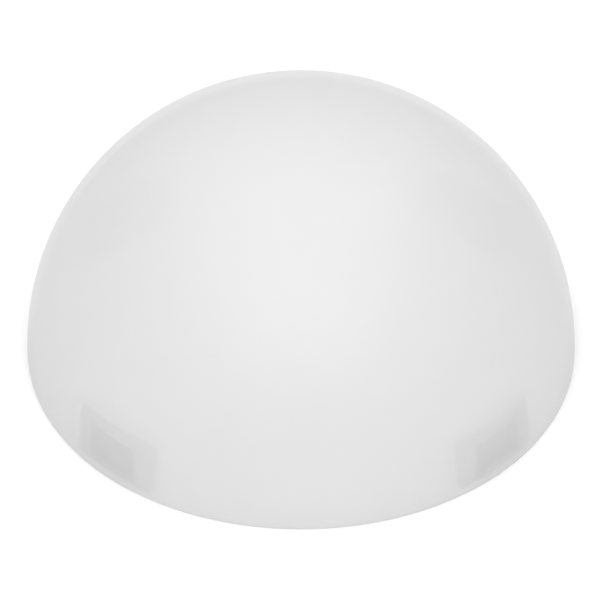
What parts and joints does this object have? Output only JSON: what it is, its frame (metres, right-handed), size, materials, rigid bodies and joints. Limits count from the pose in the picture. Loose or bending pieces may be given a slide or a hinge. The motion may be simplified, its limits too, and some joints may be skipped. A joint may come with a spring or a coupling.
{
  "type": "dome diffuser for a round flash head",
  "caption": "Hollow half-sphere dome of milky translucent plastic with block magnets in holders inside its rim; it caps a round flash head and spreads the light.",
  "frame": {"origin": "centre of the flat rim's plane, on the dome's axis", "axes": "+Z along the dome's axis to the crown; -Y is the front, midway between two magnet holders; +X is right seen from the front"},
  "size_m": [0.08, 0.08, 0.04],
  "materials": {
    "milky_polycarbonate": "fine matt, milky translucent",
    "holder_plastic": "satin moulded",
    "nickel_plating": "satin nickel"
  },
  "bodies": {
    "root": {"dome_shell": "milky_polycarbonate", "magnet_holder_front_left": "holder_plastic", "magnet_holder_front_right": "holder_plastic", "magnet_holder_back_right": "holder_plastic", "magnet_holder_back_left": "holder_plastic", "magnet_front_left": "nickel_plating", "magnet_front_right": "nickel_plating", "magnet_back_right": "nickel_plating", "magnet_back_left": "nickel_plating"}
  },
  "joints": []
}
